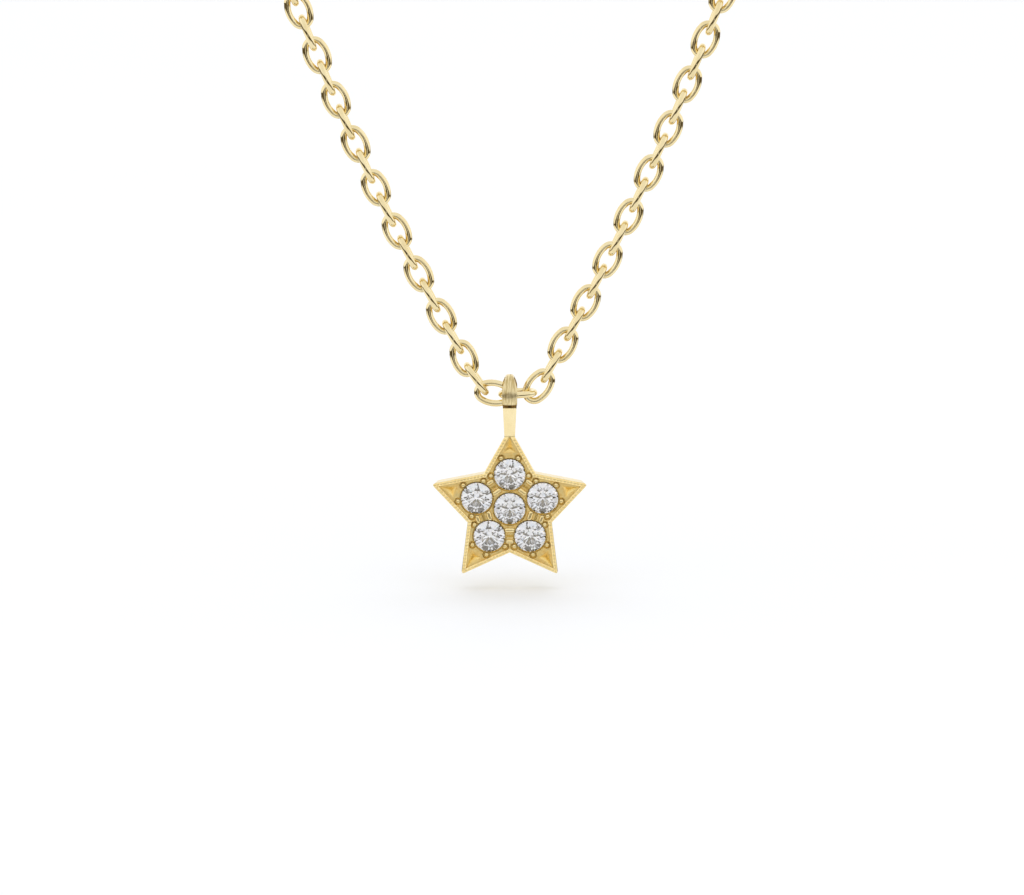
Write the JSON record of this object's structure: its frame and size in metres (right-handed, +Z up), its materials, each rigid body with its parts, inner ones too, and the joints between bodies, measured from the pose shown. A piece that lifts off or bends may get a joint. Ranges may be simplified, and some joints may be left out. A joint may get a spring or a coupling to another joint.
{
  "type": "diamond necklace",
  "caption": "Fine cable chain necklace with a small star pendant set with round brilliants that swings on the chain by its bail.",
  "frame": {"origin": "middle of the clasp, where the necklace lies on the nape", "axes": "+Z up as worn, -Y towards the front where the pendant hangs, +X to the wearer's left"},
  "size_m": [0.1082, 0.1182, 0.1239],
  "materials": {
    "gold": "polished",
    "diamond": "gloss"
  },
  "bodies": {
    "chain": {"chain_front": "gold", "chain_left": "gold", "chain_right": "gold", "clasp": "gold"},
    "pendant": {"star_setting": "gold", "centre_stone": "diamond", "point_stone_1": "diamond", "point_stone_2": "diamond", "point_stone_3": "diamond", "point_stone_4": "diamond", "point_stone_5": "diamond"}
  },
  "joints": [
    {"name": "pendant_swing", "type": "hinge", "parent": "chain", "child": "pendant", "pos_m": [0, -0.116, -0.113], "axis": [1, 0, 0], "range_deg": [-90, 90]}
  ]
}
